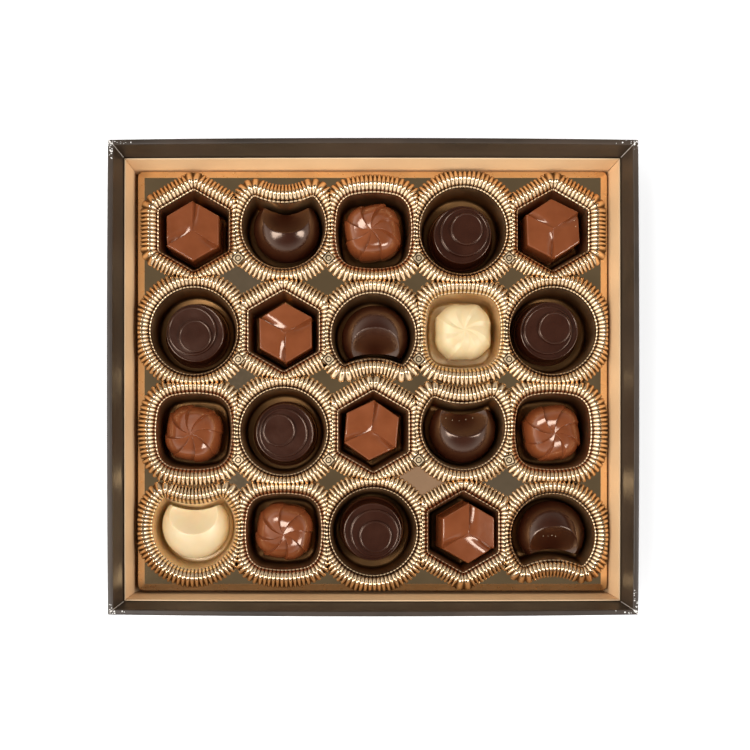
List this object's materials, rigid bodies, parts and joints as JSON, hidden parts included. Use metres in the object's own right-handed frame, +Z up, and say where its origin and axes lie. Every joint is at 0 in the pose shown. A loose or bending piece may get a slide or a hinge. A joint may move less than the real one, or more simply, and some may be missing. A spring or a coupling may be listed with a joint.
{
  "type": "box of chocolate pralines",
  "caption": "Open carton of chocolate pralines in a gold moulded tray, each praline in a cup of its own shape, inside a gold card frame.",
  "frame": {"origin": "middle of the underside, on the surface that the box stands on", "axes": "+X along the long side, to the right as seen in the picture; +Y to the far side; +Z up out of the open box"},
  "size_m": [0.2294, 0.2062, 0.038],
  "materials": {
    "carton": "glossy dark paper wrap",
    "frame": "metallised gold card, satin",
    "tray": "metallised gold, mirror gloss",
    "dark_chocolate": "soft gloss",
    "milk_chocolate": "soft gloss",
    "white_chocolate": "soft gloss"
  },
  "bodies": {
    "root": {"carton": "carton", "frame": "frame", "praline_11_milk_cube": "milk_chocolate", "praline_12_dark_moon": "dark_chocolate", "praline_13_milk_swirl": "milk_chocolate", "praline_14_dark_stack": "dark_chocolate", "praline_15_milk_cube": "milk_chocolate", "praline_21_dark_stack": "dark_chocolate", "praline_22_milk_cube": "milk_chocolate", "praline_23_dark_moon": "dark_chocolate", "praline_24_white_swirl": "white_chocolate", "praline_25_dark_stack": "dark_chocolate", "praline_31_milk_swirl": "milk_chocolate", "praline_32_dark_stack": "dark_chocolate", "praline_33_milk_cube": "milk_chocolate", "praline_34_dark_moon": "dark_chocolate", "praline_35_milk_swirl": "milk_chocolate", "praline_41_white_moon": "white_chocolate", "praline_42_milk_swirl": "milk_chocolate", "praline_43_dark_stack": "dark_chocolate", "praline_44_milk_cube": "milk_chocolate", "praline_45_dark_moon": "dark_chocolate", "tray": "tray"}
  },
  "joints": []
}
